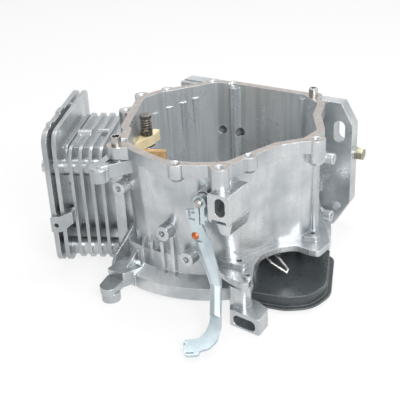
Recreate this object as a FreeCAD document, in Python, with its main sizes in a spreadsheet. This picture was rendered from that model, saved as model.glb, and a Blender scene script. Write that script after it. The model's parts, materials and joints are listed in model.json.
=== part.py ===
import FreeCAD, Part
import math
import os
import re

# Air-cooled inclined single-cylinder engine block, lying on its fan side.
# Row frame: Z is the crank axis and Z = 0 the crankcase cover's gasket face.
# +Y points out of the base plate's mounting face. The bank leans by cylinder_tilt.

doc = FreeCAD.newDocument("engine_block")
sheet = doc.addObject("Spreadsheet::Sheet", "Sizes")

# Driving dimensions in millimetres and degrees
driving = {
    # crankcase
    "wall": 5.0,
    "gasket_land": 7.5,
    "lip_depth": 12.0,
    "case_depth": 102.0,
    "floor_thick": 6.0,
    "case_back": 83.0,
    "wall_draft": 2.0,
    "well_radius": 70.0,
    "well_step": 15.0,
    "well_wall": 6.0,
    "cover_hole": 3.4,
    # fan-side ring
    "ring_radius": 119.5,
    "ring_neck": 106.0,
    "ring_wall": 5.0,
    "ring_step": 18.0,
    "ring_slope": 7.5,
    "ring_rim": 12.5,
    "foot_height": 6.0,
    # cylinder bank
    "cylinder_tilt": 25.0,
    "deck": 154.0,
    "bore": 70.0,
    "liner_wall": 3.5,
    "bore_drop": 84.0,
    "barrel_wall": 8.0,
    "fin_pitch": 10.0,
    "fin_thick": 3.2,
    "head_plate": 5.0,
    "head_half": 61.5,
    "fin_half": 55.5,
    "fin_top": 18.0,
    "fin_bottom": 140.5,
    "fin_corner": 14.0,
    "case_side": 74.0,
    "liner_start": 62.0,
    "chain_half": 38.0,
    "chain_top": 25.0,
    "chain_bottom": 38.0,
    "chain_wall": 4.0,
    "stud_half": 44.0,
    "stud_radius": 4.25,
    "stud_depth": 36.0,
    "head_dowel_radius": 6.0,
    "head_dowel_length": 14.0,
    # base plate
    "plate_left": -92.0,
    "plate_right": 110.0,
    "plate_top": 7.0,
    "plate_face": 106.0,
    "plate_thick": 14.0,
    "plate_inset": 14.0,
    "slot_radius": 6.0,
    "slot_length": 23.0,
    "slot_drop": 37.5,
    "foot_hole_radius": 4.8,
    "foot_hole_drop": 122.5,
    # crank bearing and seal
    "bearing_outer": 72.0,
    "bearing_inner": 35.0,
    "bearing_width": 17.0,
    "race_wall": 5.8,
    "ball": 5.5,
    "ball_count": 9.0,
    "cage_half": 1.4,
    "cage_width": 14.0,
    "running_gap": 0.05,
    "seal_outer": 50.0,
    "seal_width": 8.0,
    "seal_lip": 2.0,
    # dowels and drain
    "dowel_radius": 4.6,
    "dowel_height": 8.0,
    "dowel_sunk": 8.0,
    "dowel_bore": 3.4,
    "drain_radius": 5.0,
    "drain_length": 13.0,
    "drain_head": 6.4,
    "drain_head_height": 7.0,
    "drain_drop": 61.0,
    "washer_radius": 6.8,
    "washer_thick": 1.5,
    # governor
    "shaft_radius": 4.0,
    "shaft_x": 59.5,
    "shaft_drop": 32.0,
    "shaft_tip": 121.0,
    "boss_face": 111.0,
    "arm_face": 118.5,
    "arm_sheet": 2.4,
    "clamp_radius": 6.5,
    "clamp_bolt_radius": 2.0,
    "clamp_bolt_drop": 46.0,
    "clamp_bolt_y": 115.0,
    "rivet_radius": 2.6,
    "rivet_x": 54.0,
    "rivet_drop": 65.5,
    "lever_reach": 34.0,
    "seal_ring_radius": 7.0,
    "seal_ring_width": 3.4,
    # chain tensioner and guide
    "pin_x": -62.0,
    "pin_y": -24.0,
    "pin_radius": 4.0,
    "pin_top": 5.0,
    "blade_top": 26.5,
    "blade_height": 10.0,
    "pin_boss_radius": 8.0,
    "wire": 0.75,
    "coil_radius": 5.2,
    "coil_pitch": 2.6,
    "coil_turns": 4.0,
    "coil_drop": 19.5,
    "collar_radius": 6.0,
    "guide_thick": 5.0,
    "guide_start": 40.0,
    "guide_length": 88.0,
    "guide_bolt": 2.5,
    # fan-side pan
    "pan_step": 11.0,
    "pan_height": 12.0,
    "pan_sheet": 1.6,
    "pan_flange": 4.5,
    "pan_screw": 2.0,
    "pan_screw_head": 4.5,
    # wire clip
    "clip_wire": 1.2,
}

# Depths below the gasket face, each a sum of driving dimensions
depths = {
    "well_depth": ("case_depth", "well_step"),
    "ring_top": ("case_depth", "ring_step"),
    "ring_shoulder": ("case_depth", "ring_step", "ring_slope"),
    "ring_bottom": ("case_depth", "ring_step", "ring_slope", "ring_rim"),
    "rest": ("case_depth", "ring_step", "ring_slope", "ring_rim", "foot_height"),
    "pan_top": ("case_depth", "ring_step", "pan_step"),
    "pan_rim": ("case_depth", "ring_step", "pan_step", "pan_height"),
}

for row, (alias, value) in enumerate(driving.items(), start=1):
    sheet.set("A%d" % row, alias.replace("_", " "))
    sheet.set("B%d" % row, str(value))
    sheet.setAlias("B%d" % row, alias)
doc.recompute()

vec = FreeCAD.Vector
turn = FreeCAD.Rotation
words = re.compile(r"[a-z_]+")
UP = turn()
FRONT = turn(vec(1, 0, 0), 90)
REAR = turn(vec(1, 0, 0), -90)
RIGHT = turn(vec(0, 1, 0), 90)
ACROSS = turn(vec(0, 0, 1), vec(0, 1, 0), vec(-1, 0, 0), "XYZ")
UPRIGHT = turn(vec(0, -1, 0), vec(0, 0, 1), vec(-1, 0, 0), "XYZ")


def size(name):
    """Value of one driving dimension or depth."""
    return sum(float(sheet.get(part)) for part in depths.get(name, (name,)))


def about_z(angle):
    return turn(vec(0, 0, 1), angle)


BANK = about_z(size("cylinder_tilt")).multiply(UPRIGHT)


def spelled(found):
    """A name in an expression, written through the sheet."""
    name = found.group(0)
    if name in depths:
        return "(" + " + ".join("Sizes." + part for part in depths[name]) + ")"
    return "Sizes." + name if name in driving else name


def bind(obj, prop, value):
    """Set a property: a text is an expression of driving dimensions and depths."""
    if isinstance(value, str):
        obj.setExpression(prop, words.sub(spelled, value))
    elif not prop.startswith("Placement"):
        setattr(obj, prop, value)


def at(obj, x=0, y=0, z=0, rot=UP):
    """Place an object by numbers or by expressions."""
    plain = [0 if isinstance(v, str) else v for v in (x, y, z)]
    obj.Placement = FreeCAD.Placement(vec(*plain), rot)
    for key, value in (("x", x), ("y", y), ("z", z)):
        bind(obj, "Placement.Base." + key, value)
    return obj


def new(kind, label):
    obj = doc.addObject(kind, label)
    obj.Label = label
    return obj


def box(label, length, width, height, x=0, y=0, z=0, rot=UP):
    obj = new("Part::Box", label)
    bind(obj, "Length", length)
    bind(obj, "Width", width)
    bind(obj, "Height", height)
    return at(obj, x, y, z, rot)


def rod(label, radius, height, x=0, y=0, z=0, rot=UP):
    obj = new("Part::Cylinder", label)
    bind(obj, "Radius", radius)
    bind(obj, "Height", height)
    return at(obj, x, y, z, rot)


def cone(label, radius_low, radius_high, height, x=0, y=0, z=0, rot=UP):
    obj = new("Part::Cone", label)
    bind(obj, "Radius1", radius_low)
    bind(obj, "Radius2", radius_high)
    bind(obj, "Height", height)
    return at(obj, x, y, z, rot)


def ball(label, radius, x, y, z):
    obj = new("Part::Sphere", label)
    bind(obj, "Radius", radius)
    return at(obj, x, y, z)


def hexagon(label, reach, height, x=0, y=0, z=0, rot=UP):
    obj = new("Part::Prism", label)
    obj.Polygon = 6
    bind(obj, "Circumradius", reach)
    bind(obj, "Height", height)
    return at(obj, x, y, z, rot)


def fuse(label, parts):
    obj = new("Part::MultiFuse", label)
    obj.Shapes = parts
    return obj


def cut(label, base, tools):
    obj = new("Part::Cut", label)
    obj.Base = base
    obj.Tool = tools[0] if len(tools) == 1 else fuse(label + "_tools", tools)
    return obj


def ring(label, outer, inner, height, x=0, y=0, z=0, rot=UP):
    """Plain ring: an outer rod less an inner one."""
    outside = rod(label + "_outside", outer, height)
    return at(cut(label, outside, [rod(label + "_inside", inner, height)]), x, y, z, rot)


def rounded(points):
    """Edges of a closed outline: each point is x, y and the radius of its corner."""
    edges, entry, leave = [], [], []
    count = len(points)
    for i, (x, y, r) in enumerate(points):
        here = vec(x, y, 0)
        back = vec(*points[i - 1][:2], 0) - here
        ahead = vec(*points[(i + 1) % count][:2], 0) - here
        angle = back.getAngle(ahead)
        reach = r / math.tan(angle / 2) if r and angle < math.pi - 0.01 else 0
        reach = min(reach, 0.49 * back.Length, 0.49 * ahead.Length)
        back.normalize()
        ahead.normalize()
        entry.append(here + back * reach)
        leave.append(here + ahead * reach)
        if reach:
            radius = reach * math.tan(angle / 2)
            middle = (back + ahead).normalize() * (radius / math.sin(angle / 2) - radius)
            edges.append(Part.Arc(entry[i], here + middle, leave[i]))
    for i in range(count):
        nxt = (i + 1) % count
        if leave[i].distanceToPoint(entry[nxt]) > 1e-6:
            edges.append(Part.LineSegment(leave[i], entry[nxt]))
    return edges


def drawn(label, points, x=0, y=0, z=0, rot=UP):
    """Sketch of a closed rounded outline."""
    plan = new("Sketcher::SketchObject", label)
    for edge in rounded(points):
        plan.addGeometry(edge, False)
    return at(plan, x, y, z, rot)


def slab(label, points, length, x=0, y=0, z=0, rot=UP, taper=0):
    """Closed rounded outline pulled along its sketch's normal."""
    obj = new("Part::Extrusion", label)
    obj.Base = drawn(label + "_plan", points, x, y, z, rot)
    obj.DirMode = "Normal"
    obj.Solid = True
    obj.TaperAngle = taper
    bind(obj, "LengthFwd", length)
    return obj


def funnel(label, upper, lower, low):
    """Solid between an outline on the gasket face and one lower down."""
    obj = new("Part::Loft", label)
    obj.Sections = [drawn(label + "_upper", upper), drawn(label + "_lower", lower, z=low)]
    obj.Solid = True
    obj.Ruled = True
    return obj


def rectangle(x_low, y_low, x_high, y_high, corner=0):
    """Rounded rectangle as corner points."""
    return [(x_low, y_low, corner), (x_high, y_low, corner), (x_high, y_high, corner), (x_low, y_high, corner)]


def bank_point(along, across):
    """Row x and y of a point given along and across the cylinder axis."""
    tilt = math.radians(size("cylinder_tilt"))
    return (-along * math.cos(tilt) - across * math.sin(tilt), -along * math.sin(tilt) + across * math.cos(tilt))


def polar(radius, angle):
    return (radius * math.cos(math.radians(angle)), radius * math.sin(math.radians(angle)))


def stretched(points, out):
    """Clockwise outline moved outwards by a distance, as corner points."""
    moved = []
    count = len(points)
    for i, (x, y, r) in enumerate(points):
        here = vec(x, y, 0)
        back = (here - vec(*points[i - 1][:2], 0)).normalize()
        ahead = (vec(*points[(i + 1) % count][:2], 0) - here).normalize()
        bend = back.x * ahead.y - back.y * ahead.x
        side_ahead = vec(-ahead.y, ahead.x, 0)
        middle = (vec(-back.y, back.x, 0) + side_ahead).normalize()
        spot = here + middle * (out / max(0.3, middle.dot(side_ahead)))
        moved.append((spot.x, spot.y, max(0.8, r + out if bend < 0 else r - out)))
    return moved


# Crankcase cavity outline at the gasket face, clockwise from the bank's lower corner
back_y = size("case_back")
case_side = size("case_side")
inside = [
    bank_point(case_side - 4, -43.5) + (14,),
    bank_point(case_side, -38) + (16,),
    bank_point(case_side, 40) + (14,),
    bank_point(case_side - 14.7, 57.4) + (14,),
    (-53, 62, 16),
    (-44, 78, 9),
    (-20, back_y, 8),
    (60, back_y, 6),
    (83, back_y - 17, 12),
    (92, 36, 16),
    (112, 2, 12),
    (110, -20, 12),
    (92, -40, 18),
    (81, -72, 18),
    (74, -95, 12),
    (52, -108, 14),
    (26, -115, 24),
    (-8, -106, 18),
    (-30, -96, 14),
]

# The outline at the case floor: drawn in by the draft, and its front leaning in further
front_lean = {13: (-1, 2), 14: (-1, 7.5), 15: (-1, 15), 16: (0, 14.5), 17: (0, 6), 18: (0, 3.5)}
draft = size("case_depth") * math.tan(math.radians(size("wall_draft")))
leaning = []
for i, (x, y, r) in enumerate(inside):
    lean_x, lean_y = front_lean.get(i, (0, 0))
    leaning.append((x + lean_x, y + lean_y, r))
inside_low = stretched(leaning, -draft)

# Cover bolts: x, y, boss radius and boss depth
cover_bolts = [
    (-24.4, back_y + 1, 7.5, 26),
    (-47.1, back_y - 2, 7.5, 22),
    (120.2, -16.8, 8.5, 24),
    (84.5, -75.3, 7.5, 15),
    (74.7, -107.6, 8.0, 27),
    (37, -116.3, 7.5, 16),
    (-34, -95.5, 6.5, 14),
    bank_point(case_side + 11.1, 4.4) + (7.5, 24),
    bank_point(case_side + 4.3, 49.8) + (7.5, 23),
    bank_point(case_side - 20.3, 67) + (7.0, 22),
]
dowel_spots = [(-33.8, -107), (69.4, back_y + 1.8)]


def lobe(label, x, y, r, depth):
    """Bolt boss on the gasket flange, blended into the wall."""
    wire = Part.Wire(Part.__sortEdges__([e.toShape() for e in rounded(inside)]))
    gap, pairs, _ = wire.distToShape(Part.Vertex(x, y, 0))
    spot = pairs[0][0]
    angle = math.atan2(spot.y - y, spot.x - x)
    reach = gap + 1.5
    flare = r + 0.6 * reach
    ux, uy = math.cos(angle), math.sin(angle)
    lip = min(depth, size("lip_depth"))
    web = slab(label + "_web", [
        (x - uy * r, y + ux * r, 0),
        (x + uy * r, y - ux * r, 0),
        (x + ux * reach + uy * flare, y + uy * reach - ux * flare, 0),
        (x + ux * reach - uy * flare, y + uy * reach + ux * flare, 0),
    ], lip, z=-lip)
    post = rod(label + "_post", r, depth - 3, x, y, -depth + 3)
    tip = cone(label + "_tip", r - 2.5, r, 3, x, y, -depth)
    return [web, post, tip]


# Crankcase wall with its draft, gasket lip, floor and bearing well
shell = [
    funnel("case_wall", stretched(inside, size("wall")), stretched(inside_low, size("wall")), "-case_depth - floor_thick"),
    slab("case_lip", stretched(inside, size("gasket_land")), "lip_depth", z="-lip_depth"),
    rod("well_body", "well_radius + well_wall", "well_depth + well_wall - case_depth", 0, 0, "-well_depth - well_wall"),
]
for i, spot in enumerate(cover_bolts):
    shell += lobe("cover_boss_%d" % i, *spot)
for i, (x, y) in enumerate(dowel_spots):
    shell += lobe("dowel_boss_%d" % i, x, y, 9.0, 14)

# Fan-side ring: a sloping shoulder and an upright rim
ring_solid = fuse("ring_solid", [
    cone("ring_slope", "ring_radius", "ring_neck", "ring_shoulder - ring_top", 0, 0, "-ring_shoulder"),
    rod("ring_rim", "ring_radius", "ring_bottom - ring_shoulder", 0, 0, "-ring_bottom"),
    rod("ring_ceiling", "ring_neck", "ring_top - case_depth", 0, 0, "-ring_top"),
])
ring_holes = [
    rod("ring_hollow", "ring_radius - ring_wall", "ring_bottom - ring_shoulder + 1", 0, 0, "-ring_bottom - 1"),
    cone("ring_hollow_slope", "ring_radius - ring_wall", "ring_neck - ring_wall", "ring_shoulder - ring_top",
         0, 0, "-ring_shoulder"),
    rod("ring_room", "ring_neck - ring_wall", "ring_top - case_depth - floor_thick + 1", 0, 0, "-ring_top - 0.5"),
    slab("ring_bank_gap", [(-300, -200, 0), (-24, -200, 0), (-24, -112, 8), (-42, -92, 6), bank_point(84, -46) + (6,),
                           bank_point(86, 60) + (6,), (-60, 84, 0), (-60, 200, 0), (-300, 200, 0)], 70, z=-170),
    box("ring_rear_gap", 300, 120, 60, -150, "plate_face - plate_thick + 2", -160),
    slab("ring_pan_gap", [(60, 30, 0), (84, -88, 0), (60, -170, 0), (190, -170, 0), (190, 32, 0)], 52, z=-160),
]
shell.append(cut("fan_ring", ring_solid, ring_holes))

# Main bearing housing under the well, with ribs
shell.append(rod("bearing_boss", "bearing_outer / 2 + 8", "bearing_width + seal_width + 2", 0, 0,
                 "-well_depth - bearing_width - seal_width - 2"))
for k in range(6):
    swing = about_z(60 * k + 30)
    foot = swing.multVec(vec(40, -2, 0))
    shell.append(box("bearing_rib_%d" % k, 34, 4, 12, foot.x, foot.y, "-well_depth - 12", swing))

# Fan flange with its concave edge over the pan
flange_points = [
    (30, -60, 0), (52, -102, 8), (88, -115, 8), (104, -119, 6), (102, -104, 8), (93, -84, 14), (90, -64, 16), (98, -47, 14),
    (110, -36, 10), (124, -38, 8), (134, -37, 4), (136, -16, 10), (124, 4, 14), (104, 34, 14), (90, 60, 6), (30, 60, 0),
]
shell.append(slab("flange", flange_points, "floor_thick", z="-case_depth - floor_thick"))
shell.append(slab("ear", [(58, -95, 3), (70, -84, 3), (81, -78, 5), (90, -87, 6), (91, -97, 5), (70, -100, 3)],
                  10, z="-case_depth - floor_thick", taper=-8))
shell.append(slab("right_boss", [(100, -20, 4), (108, -6, 4), (119, -5, 6), (127, -13, 6), (126, -22, 5), (112, -25, 4)],
                  10, z="-case_depth - floor_thick", taper=-8))
shell.append(rod("small_boss", 4.5, 8, 98, -105, "-case_depth - floor_thick"))

# Shoulder from the ear down to the foot block
shell.append(slab("shoulder", [(80, -108, 5), (86, -115, 5), (99, -115, 5), (103, -104, 6), (90, -95, 5), (76, -96, 5)],
                  "rest - case_depth - 8", z="-rest"))
shell.append(slab("foot_block", [(88, -121, 1.5), (119, -124, 2), (118, -105, 3), (104, -98, 4), (86, -94.5, 4), (82, -108, 4)],
                  16.5, z="-rest"))
shell.append(ball("shoulder_cap", 10, 92, -104, -114))

# Left foot: step, tongue and round pad
shell.append(slab("tongue", [(-44, -128, 4), (-40, -147, 8), (-24, -149, 8), (-25, -128, 3), (-12, -100, 0), (-40, -88, 0)],
                  7, z=-137.5))
shell.append(slab("step", [(-43, -128, 2), (-24, -128, 2), (-10, -98, 0), (-40, -86, 0)], 9, z=-131))
shell.append(rod("foot_pad", 9.0, "rest - 137", -32, -138.5, "-rest"))


def blade(label, x, y, angle, points, thick):
    """Upright plate standing out of a wall along a plan angle."""
    swing = about_z(angle).multiply(FRONT)
    shift = about_z(angle).multVec(vec(0, thick / 2, 0))
    return slab(label, points, thick, x + shift.x, y + shift.y, 0, swing)


shell.append(blade("foot_blade_left", -36, -82, -104, [(0, -132, 0), (36, -132, 0), (36, -124, 2), (32, -114, 3),
                                                      (8, -92, 2), (0, -92, 0)], 3.5))
shell.append(blade("foot_blade_right", -20, -88, -107, [(0, -134, 0), (42, -134, 0), (38, -128, 3), (8, -101, 2),
                                                        (0, -101, 0)], 4))
shell.append(blade("web_left", -14, -90, -100, [(0, -124, 0), (18, -124, 0), (15, -104, 3), (7, -80, 1), (0, -80, 0)], 3))
shell.append(blade("web_right", -2, -92, -100, [(0, -112, 0), (16, -112, 0), (14, -94, 3), (8, -75, 1), (0, -75, 0)], 3))

# Front bosses that face the tank side: name, x, z, reach and radius
front_bosses = [("boss_a", -38, -46, 106, 6.5), ("boss_b", 19, -72, 120, 7.2), ("boss_c", 36.5, -99.5, 110, 7.2)]
for name, x, z, reach, r in front_bosses:
    shell.append(rod(name, r, reach - 90, x, -90, z, FRONT))
shell.append(slab("boss_b_rib", rectangle(19.5, -118, 23, -80, 1.5), 15, y=-94, rot=FRONT))
shell.append(slab("boss_b_rib_low", rectangle(8, -118, 11.5, -88, 1.5), 15, y=-94, rot=FRONT))

# Mounting eye on two arms
shell.append(rod("eye", 9, 14, -41, -126, -29))
shell.append(rod("eye_collar", 9.6, 2.5, -41, -126, -19))
shell.append(slab("eye_arm_left", [(-47, -129, 2), (-40, -123, 2), (-44, -90, 0), (-52, -88, 0)], 12, z=-27))
shell.append(slab("eye_arm_right", [(-42, -132, 2), (-36, -128, 2), (-18, -98, 0), (-28, -94, 0)], 13, z=-27))
shell.append(slab("eye_web", [(-46, -128, 0), (-38, -130, 0), (-20, -98, 0), (-50, -88, 0)], 4, z=-26))

# Square lug with an oval hole on the front wall, and its taper down the wall
shell.append(slab("lug", rectangle(69, -47, 91, -20, 3), 34, y=-86, rot=FRONT))
shell.append(slab("lug_taper", [(70, -46, 2), (90, -46, 2), (86, -62, 4), (76, -62, 4)], 29, y=-84, rot=FRONT, taper=-2))
shell.append(rod("lug_shoulder", 6, 24, 85, -101, -46))

# Governor shaft boss through the front wall
shell.append(rod("governor_boss", "shaft_radius + 4.5", "boss_face - 92", "shaft_x", -92, "-shaft_drop", FRONT))

# Right wall: stand-offs, gussets and corner ribs
standoffs = [("standoff_top", -51, 107), ("standoff_low", -115, 106)]
for name, z, reach in standoffs:
    shell.append(rod(name, 5.8, reach - 80, 80, 54.5, z, RIGHT))
    shell.append(slab(name + "_gusset", [(80, z + 14, 0), (reach - 2, z + 3, 1), (reach - 2, z - 3, 1), (80, z - 8, 0)],
                      3.5, y=56, rot=FRONT))
shell.append(slab("corner_ribs", [(104, -8, 0), (115, -9, 1.5), (118, -7, 1.5), (114, -3, 1), (117, 1, 1.5), (111, 4, 1),
                                  (100, 4, 0)], 82, z=-103))

# Base plate joined to the rear wall
left, right = size("plate_left"), size("plate_right")
top, low = -size("plate_top"), -size("rest")
shell.append(slab("base_plate", [
    (right - 13, top, 2), (right, top - 22, 4), (right, low + 31, 6),
    (right - 18, low, 4), (left + 18, low, 4), (left, low + 30, 6), (left, top, 2),
], "plate_thick", y="plate_face", rot=FRONT))
shell.append(box("plate_end", 24, 12, 52, "plate_left", "plate_face - plate_thick - 7", "-plate_top - 53"))
shell.append(box("base_web", 116, 22, "case_depth - 10", -44, 74, "-case_depth"))
shell.append(slab("base_web_left", [(-90, 98, 0), (-90, 86, 4), (-50, 78, 0), (-40, 98, 0)], 60, z=-100))
shell.append(box("base_floor", 130, 30, 9, -52, "plate_face - 36", "-case_depth - floor_thick"))
drain_y = size("plate_face") - size("plate_thick") / 2
shell.append(rod("drain_pad", "washer_radius + 0.2", 6, "plate_right - 5.5", drain_y, "-drain_drop", RIGHT))

# Screw bosses for the pan
pan_screws = [(78, -12), (96, 8), (72, -50)]
for i, (x, y) in enumerate(pan_screws):
    shell.append(rod("pan_boss_%d" % i, "pan_screw + 4", "pan_top - case_depth - floor_thick + 1", x, y, "-pan_top"))

# Cylinder bank, drawn upright in a frame of its own
drop = size("bore_drop")
head_points = rectangle(-size("head_half"), -size("fin_bottom"), size("head_half"), 0, size("fin_corner"))
head_points[3] = (-size("head_half") - 2, 2, 6)
fin_points = rectangle(-size("fin_half"), -size("fin_bottom"), size("fin_half"), -size("fin_top"), size("fin_corner"))
short_points = rectangle(-44, -60, 50, -17, 8)
bank_parts = [
    slab("head_flange", head_points, "head_plate", z="deck - head_plate"),
    slab("fin_0", head_points, "fin_thick + 0.8", z="deck - head_plate - fin_pitch + fin_thick - 2"),
    slab("fin_1", short_points, "fin_thick - 1", z="deck - head_plate - 1.6 * fin_pitch + fin_thick - 3"),
]
fin_count = int((size("deck") - size("case_side") - 42) / size("fin_pitch")) + 1
for k in range(fin_count):
    start = "deck - head_plate - %.2f * fin_pitch + fin_thick - 3" % (2.05 + k)
    bank_parts.append(slab("fin_%d" % (k + 2), fin_points, "fin_thick", z=start))
bank_parts += [
    rod("barrel", "bore / 2 + liner_wall + barrel_wall", "deck - case_side - 1", 0, "-bore_drop", "case_side"),
    rod("barrel_inner", "bore / 2 + liner_wall + 3", "case_side - liner_start + 6", 0, "-bore_drop", "liner_start"),
    box("chain_case", "2 * chain_half + 2 * chain_wall", "chain_bottom - chain_top + 2 * chain_wall",
        "deck - case_side + 4", "-chain_half - chain_wall", "-chain_bottom - chain_wall", "case_side - 5"),
    box("barrel_neck", "2 * chain_half", "bore_drop - chain_bottom", "deck - case_side - 1", "-chain_half",
        "-bore_drop", "case_side"),
    slab("bank_foot", rectangle(-50, -130, 52, -16, 14), 10, z="case_side + 7"),
    box("bank_corner_left", 9, 46, "deck - case_side - 8", "-chain_half - 6", "-bore_drop", "case_side + 7"),
    box("bank_corner_right", 9, 46, "deck - case_side - 8", "chain_half - 3", "-bore_drop", "case_side + 7"),
    slab("fin_lug", [(0, -102, 2), (0, -85, 2), (-10, -84, 3), (-23, -78, 2), (-23, -91, 2), (-10, -101, 3)], 12, x=66,
         z="deck", rot=ACROSS),
    rod("top_boss_large", 7, 14, 10, "-fin_top - 4", "deck - 36"),
    rod("top_boss_small", 3, 12, 6, "-fin_top - 1", "deck - 53"),
    rod("rear_post", 5, 12, -38, -9, "deck - 12"),
    slab("bump_front", [(30, -3, 0), (33, 2.5, 1), (40, 2.5, 1), (43, -3, 0)], "head_plate", z="deck - head_plate"),
    slab("bump_rear", [(-8, -3, 0), (-4, 3, 1), (8, 3, 1), (12, -3, 0)], "head_plate", z="deck - head_plate"),
]
stud_spots = [(a * size("stud_half"), -drop + b * size("stud_half")) for a in (-1, 1) for b in (-1, 1)]
for i, (x, y) in enumerate(stud_spots):
    bank_parts.append(rod("stud_boss_%d" % i, "stud_radius + 4.5", "deck - case_side - 20", x, y, "case_side + 18"))
shell.append(at(fuse("bank", bank_parts), rot=BANK))

# Bank hollows: liner bore, chain tunnel, studs and head dowels
hollows = [
    rod("liner_bore", "bore / 2 + liner_wall", "deck", 0, "-bore_drop", "liner_start"),
    rod("skirt_bore", "bore / 2", "deck", 0, "-bore_drop", "liner_start - 8"),
    slab("chain_room", rectangle(-size("chain_half"), -size("chain_bottom"), size("chain_half"), -size("chain_top"), 0.8),
         "deck", z=50),
    rod("lug_eye", 2.4, 14, 67, -94, "deck - 5.5", ACROSS),
]
for i, (x, y) in enumerate(stud_spots):
    hollows.append(rod("stud_hole_%d" % i, "stud_radius", "stud_depth + 1", x, y, "deck - stud_depth"))
for i in (0, 3):
    x, y = stud_spots[i]
    hollows.append(rod("dowel_hole_%d" % i, "head_dowel_radius", "head_dowel_length", x, y, "deck - head_dowel_length / 2"))
hollow_bank = at(fuse("bank_hollows", hollows), rot=BANK)

# Cavity and what is set back inside it
cavity = funnel("cavity", inside, inside_low, "-case_depth")
mouth = slab("cavity_mouth", inside, 5)
well = rod("well", "well_radius", "well_depth - case_depth + 1", 0, 0, "-well_depth")
solid_case = fuse("case_solid", [fuse("case_rest", shell[1:]), shell[0]])
hollow_case = cut("case_hollow", solid_case, [cavity, mouth, well])
kept = [hollow_case]
flute_line = [bank_point(case_side - 7.3, 51), bank_point(case_side - 20.9, 62.7), (-65.3, 47.4), (-57.1, 58.8)]
for k, (x, y) in enumerate(flute_line):
    kept.append(rod("flute_%d" % k, 4.5, "case_depth - %.1f" % (20 - 2.4 * k), x, y, "-case_depth"))
kept.append(slab("corner_column", [(-26, back_y + 3, 0), (-24, back_y - 7, 4), (-16, back_y - 8, 4), (-14, back_y + 3, 0)],
                 "case_depth - 3", z="-case_depth"))
kept.append(slab("rear_edge", [(54, back_y + 3, 0), (56, back_y - 2.5, 1), (59, back_y - 4, 1), (64, back_y + 1, 0)],
                 "case_depth - 4", z="-case_depth"))
kept.append(rod("pin_boss", "pin_boss_radius", 12, "pin_x", "pin_y", "-blade_top - blade_height - 12.5"))
kept.append(slab("pin_boss_web", [bank_point(case_side + 6, -12) + (0,), bank_point(64, -8) + (0,),
                                  bank_point(64, 8) + (0,), bank_point(case_side + 6, 12) + (0,)], 10.5, z="-blade_top - blade_height - 12.5"))
raw = fuse("case_with_ribs", kept)

# Holes that are drilled through the finished casting
tools = [
    hollow_bank,
    rod("bearing_bore", "bearing_outer / 2", "bearing_width + 1", 0, 0, "-well_depth - bearing_width"),
    rod("seal_bore", "seal_outer / 2", "seal_width + 6", 0, 0, "-well_depth - bearing_width - seal_width - 4"),
    rod("pin_hole", "pin_radius - 1", 12, "pin_x", "pin_y", "-blade_top - blade_height - 8"),
    rod("drain_hole", "drain_radius", 40, "plate_right - 38", drain_y, "-drain_drop", RIGHT),
    rod("rear_port", 4.6, 20, -14, "case_back + 12", -53, FRONT),
    rod("rear_port_left", 4.6, 20, -35, "case_back + 12", -53, FRONT),
    rod("governor_bore", "shaft_radius + running_gap", 40, "shaft_x", -88, "-shaft_drop", FRONT),
    rod("governor_seal_seat", "seal_ring_radius", 6, "shaft_x", "-boss_face + 4", "-shaft_drop", FRONT),
]
for i, (x, y, r, depth) in enumerate(cover_bolts):
    tools.append(rod("cover_hole_%d" % i, "cover_hole", depth - 3, x, y, 4 - depth))
    tools.append(cone("cover_sink_%d" % i, "cover_hole", "cover_hole + 1", 1.2, x, y, -1.15))
for i, (x, y) in enumerate(dowel_spots):
    tools.append(rod("dowel_seat_%d" % i, "dowel_radius", "dowel_sunk + 1", x, y, "-dowel_sunk"))
for i, x in enumerate(("plate_left + plate_inset", "plate_right - plate_inset")):
    middle = left + size("plate_inset") if i == 0 else right - size("plate_inset")
    wide, half = size("slot_radius"), size("slot_length") / 2
    tools.append(rod("foot_hole_%d" % i, "foot_hole_radius", 30, x, "plate_face + 4", "-foot_hole_drop", FRONT))
    tools.append(slab("slot_%d" % i, rectangle(middle - wide, -size("slot_drop") - half, middle + wide,
                                               -size("slot_drop") + half, wide - 0.1), 34, y="plate_face + 4", rot=FRONT))
for name, x, z, reach, r in front_bosses:
    tools.append(rod(name + "_hole", 3, 13, x, -reach + 12, z, FRONT))
tools.append(slab("lug_hole", rectangle(76, -40, 86, -23, 4.9), 26, y=-96, rot=FRONT))
tools.append(slab("lug_notch", rectangle(72, -51, 87, -44, 2), 14, y=-109, rot=FRONT))
tools.append(slab("foot_slot", rectangle(91.5, -144, 115, -133.5, 4.8), 26, y=-104, rot=FRONT))
for name, z, reach in standoffs:
    tools.append(rod(name + "_hole", 2.7, 16, reach - 14, 54.5, z, RIGHT))
tools.append(rod("ear_hole", 2.6, 12, 81, -90, "-case_depth - floor_thick"))
tools.append(rod("right_boss_hole", 2.6, 12, 117, -14, "-case_depth - floor_thick"))
tools.append(rod("small_boss_hole", 1.8, 9, 98, -105, "-case_depth - floor_thick + 2"))
tools.append(rod("left_foot_hole", 1.7, 20, -17, -119, -140))
for i, (x, y) in enumerate(pan_screws):
    tools.append(rod("pan_hole_%d" % i, "pan_screw", 13, x, y, "-pan_top - 1"))
guide_bolts = [86, 112]
tunnel_wall = -size("chain_half")
for i, along in enumerate(guide_bolts):
    x, y = bank_point(along, tunnel_wall - 3.5)
    tools.append(rod("guide_hole_%d" % i, "guide_bolt", 6, x, y, "-(chain_top + chain_bottom) / 2",
                     about_z(size("cylinder_tilt")).multiply(REAR)))
clip_root = (90, -54)
tools.append(rod("clip_hole", "clip_wire", 5, clip_root[0], clip_root[1], "-case_depth - floor_thick - 1"))
block = cut("block", raw, tools)
nodes = [block]

# Cylinder liner
liner = cut("cylinder_liner", rod("liner_body", "bore / 2 + liner_wall", "deck - liner_start", 0, "-bore_drop", "liner_start"),
            [rod("liner_inside", "bore / 2", "deck", 0, "-bore_drop", 20)])
nodes.append(at(liner, rot=BANK))

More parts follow.
